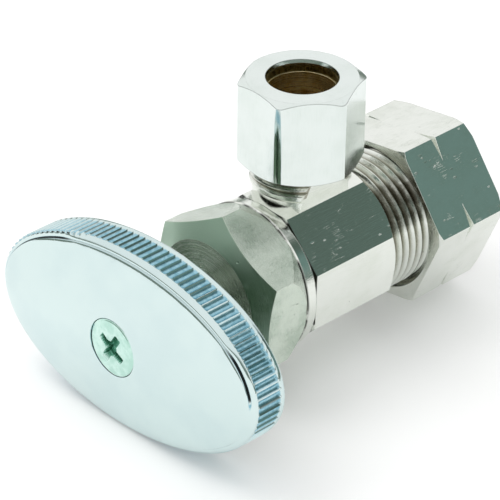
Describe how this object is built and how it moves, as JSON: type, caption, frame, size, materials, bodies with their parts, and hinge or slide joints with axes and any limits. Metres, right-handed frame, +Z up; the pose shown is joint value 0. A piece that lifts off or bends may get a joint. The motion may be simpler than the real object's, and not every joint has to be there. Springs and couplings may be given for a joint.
{
  "type": "angle stop valve",
  "caption": "Multi-turn angle stop valve: compression inlet for a supply pipe, smaller compression outlet at a right angle, oval fluted handle.",
  "frame": {"origin": "centre of the inlet nut's outer face, on the inlet axis", "axes": "+Y along the supply pipe, away from the valve; +Z up the outlet axis; the handle faces -Y"},
  "size_m": [0.0508, 0.0643, 0.0427],
  "materials": {
    "nickel_plate": "polished nickel plate on brass",
    "satin_nickel": "brushed nickel plate on brass",
    "bare_brass": "turned",
    "black_rubber": "moulded",
    "bright_chrome": "bright chrome plate on die-cast zinc",
    "zinc_plate": "clear zinc plate on steel"
  },
  "bodies": {
    "housing": {"valve_body": "nickel_plate", "bonnet_nut": "satin_nickel", "packing_washer_inner": "bare_brass", "packing_ring": "black_rubber", "packing_washer_outer": "bare_brass"},
    "seat_carrier": {"seat_washer": "black_rubber"},
    "stem_and_handle": {"stem": "nickel_plate", "seat_washer_screw": "bare_brass", "handle": "bright_chrome", "handle_screw": "zinc_plate"},
    "inlet_sleeve_body": {"inlet_sleeve": "bare_brass"},
    "inlet_nut_body": {"inlet_nut": "nickel_plate"},
    "outlet_sleeve_body": {"outlet_sleeve": "bare_brass"},
    "outlet_nut_body": {"outlet_nut": "nickel_plate"}
  },
  "joints": [
    {"name": "stem_travel", "type": "slide", "parent": "housing", "child": "seat_carrier", "axis": [0, 1, 0], "range_m": [-0.0016, 0.0032]},
    {"name": "handle_turn", "type": "hinge", "parent": "seat_carrier", "child": "stem_and_handle", "pos_m": [0, -0.05, 0], "axis": [0, 1, 0], "range_deg": [-360, 720]},
    {"name": "inlet_nut_travel", "type": "slide", "parent": "housing", "child": "inlet_sleeve_body", "axis": [0, -1, 0], "range_m": [-0.00282, 0.00212]},
    {"name": "inlet_nut_turn", "type": "hinge", "parent": "inlet_sleeve_body", "child": "inlet_nut_body", "pos_m": [0, 0, 0], "axis": [0, -1, 0], "range_deg": [-720, 540]},
    {"name": "outlet_nut_travel", "type": "slide", "parent": "housing", "child": "outlet_sleeve_body", "axis": [0, 0, -1], "range_m": [-0.00317, 0.00212]},
    {"name": "outlet_nut_turn", "type": "hinge", "parent": "outlet_sleeve_body", "child": "outlet_nut_body", "pos_m": [0, -0.0286, 0.02], "axis": [0, 0, -1], "range_deg": [-1080, 720]}
  ],
  "couplings": [
    {"joint": "handle_turn", "follows": "stem_travel", "rad_per_m": 3927},
    {"joint": "inlet_nut_turn", "follows": "inlet_nut_travel", "rad_per_m": 4453},
    {"joint": "outlet_nut_turn", "follows": "outlet_nut_travel", "rad_per_m": 5938.7}
  ]
}
